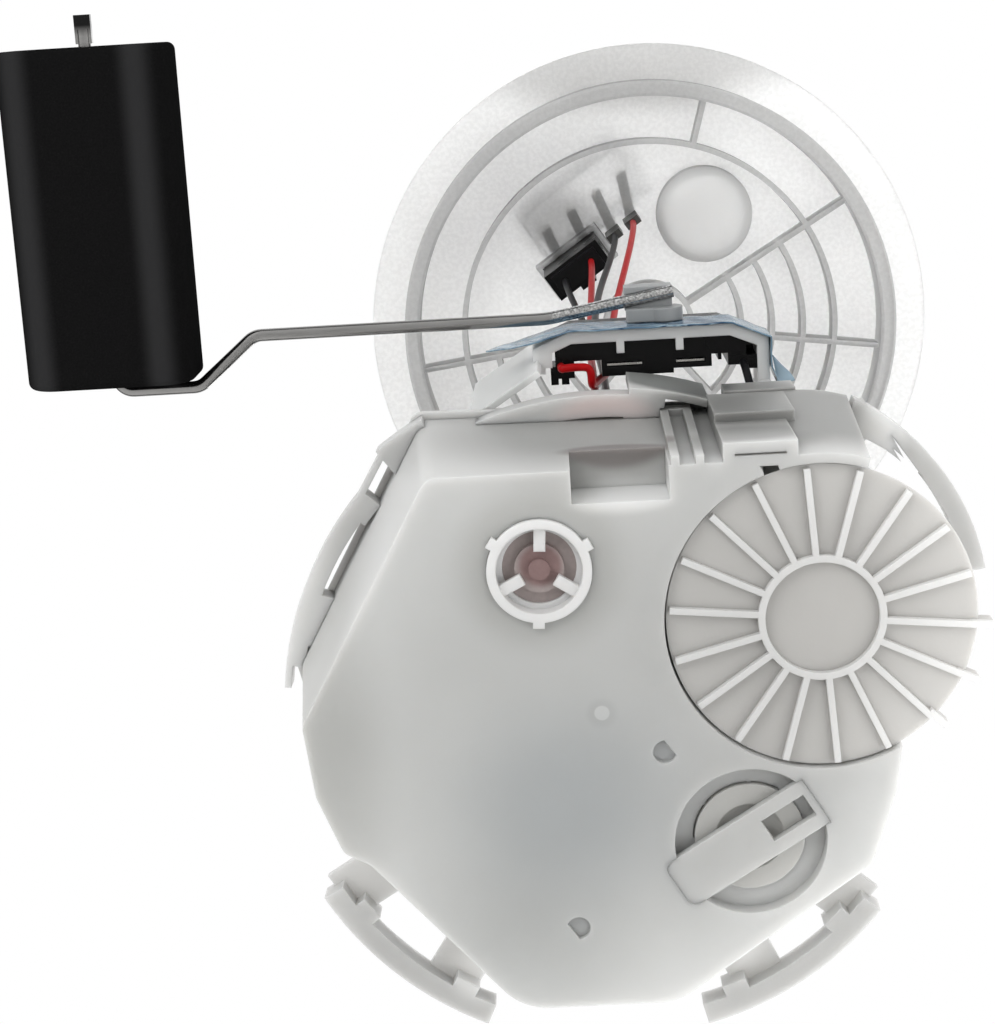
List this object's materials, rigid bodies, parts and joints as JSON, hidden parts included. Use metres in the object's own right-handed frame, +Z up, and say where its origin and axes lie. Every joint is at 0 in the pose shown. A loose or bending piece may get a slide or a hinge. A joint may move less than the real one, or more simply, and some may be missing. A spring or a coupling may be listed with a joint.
{
  "type": "in-tank fuel pump module",
  "caption": "In-tank fuel pump module: flange cap on sprung guide rods over a reservoir with pump, filter, regulator and a float arm level sender.",
  "frame": {"origin": "centre of the flange's seat, the underside of its brim", "axes": "+Z up out of the tank along the module's axis, +Y along the fuel outlet spigot and away from the level sender, so the float arm points along -X"},
  "size_m": [0.2056, 0.2043, 0.2537],
  "materials": {
    "natural_plastic": "frosted translucent natural acetal",
    "holder_plastic": "white acetal, slightly translucent",
    "filter_plastic": "warm grey translucent moulding",
    "black_plastic": "black moulding",
    "float_foam": "matt black closed-cell nitrile foam",
    "steel": "bright zinc plated steel",
    "stainless": "stainless steel",
    "terminal_brass": "tinned brass",
    "copper_alloy": "nickel silver strip",
    "red_wire": "red insulation",
    "black_wire": "black insulation",
    "hose_plastic": "black convoluted nylon tube",
    "rubber_black": "black nitrile rubber",
    "valve_rubber": "brown-red fluorocarbon rubber",
    "blue_film": "thin pale blue clear film, bare",
    "filter_paper": "pleated filter paper",
    "magnet": "ferrite",
    "ceramic": "white ceramic card",
    "strainer_mesh": "woven nylon mesh"
  },
  "bodies": {
    "flange": {"flange_cap": "natural_plastic", "pump_terminals": "terminal_brass", "sender_terminals": "terminal_brass", "rollover_valve": "natural_plastic", "guide_rod_left": "steel", "guide_rod_right": "steel", "rod_clips": "stainless", "spring_left": "stainless", "spring_right": "stainless", "pump_plug": "black_plastic", "sender_lugs": "terminal_brass", "pump_lead_red": "red_wire", "pump_lead_black": "black_wire", "sender_lead_red": "red_wire", "sender_lead_black": "black_wire", "outlet_hose": "hose_plastic", "hose_clamp_top": "stainless"},
    "reservoir": {"reservoir_cup": "natural_plastic", "reservoir_cover": "natural_plastic", "rim_ring": "natural_plastic", "inlet_valve_cage": "holder_plastic", "pressure_regulator": "filter_plastic", "regulator_seal": "rubber_black", "regulator_strap": "natural_plastic", "filter_canister": "filter_plastic", "filter_lid": "filter_plastic", "filter_element": "filter_paper", "hose_clamp_low": "stainless", "pump_body": "steel", "pump_head": "black_plastic", "pump_inlet_cap": "black_plastic", "pump_magnets": "magnet", "pump_isolator": "rubber_black", "pump_strainer": "strainer_mesh", "feed_hose": "hose_plastic", "jet_pump": "black_plastic", "jet_hose": "hose_plastic", "sender_holder": "holder_plastic", "sender_housing": "black_plastic", "sender_card": "ceramic", "sender_contacts": "copper_alloy", "sender_film": "blue_film", "ground_lead": "black_wire"},
    "pump_rotor": {"pump_rotor": "steel"},
    "inlet_valve": {"inlet_valve_disc": "valve_rubber"},
    "float_arm": {"arm_wire": "steel", "arm_hub": "holder_plastic", "sender_wiper": "copper_alloy"},
    "float": {"float_block": "float_foam"}
  },
  "joints": [
    {"name": "reservoir_slide", "type": "slide", "parent": "flange", "child": "reservoir", "axis": [0, 0, 1], "range_m": [0, 0.025], "stiffness_N_per_m": 400, "springref_m": -0.02, "deforming": ["spring_left", "spring_right", "outlet_hose", "pump_lead_red", "pump_lead_black", "sender_lead_red", "sender_lead_black"]},
    {"name": "arm_pivot", "type": "hinge", "parent": "reservoir", "child": "float_arm", "pos_m": [-0.0034, -0.028, -0.171], "axis": [0, 1, 0], "range_deg": [-28, 60]},
    {"name": "float_spin", "type": "hinge", "parent": "float_arm", "child": "float", "pos_m": [-0.1133, -0.0521, -0.171], "axis": [0, -1, 0], "continuous": true},
    {"name": "inlet_valve_lift", "type": "slide", "parent": "reservoir", "child": "inlet_valve", "axis": [0, 0, 1], "range_m": [0, 0.0015]},
    {"name": "rotor_spin", "type": "hinge", "parent": "reservoir", "child": "pump_rotor", "pos_m": [-0.0294, 0.054, -0.177], "axis": [0, 0, 1], "continuous": true}
  ]
}
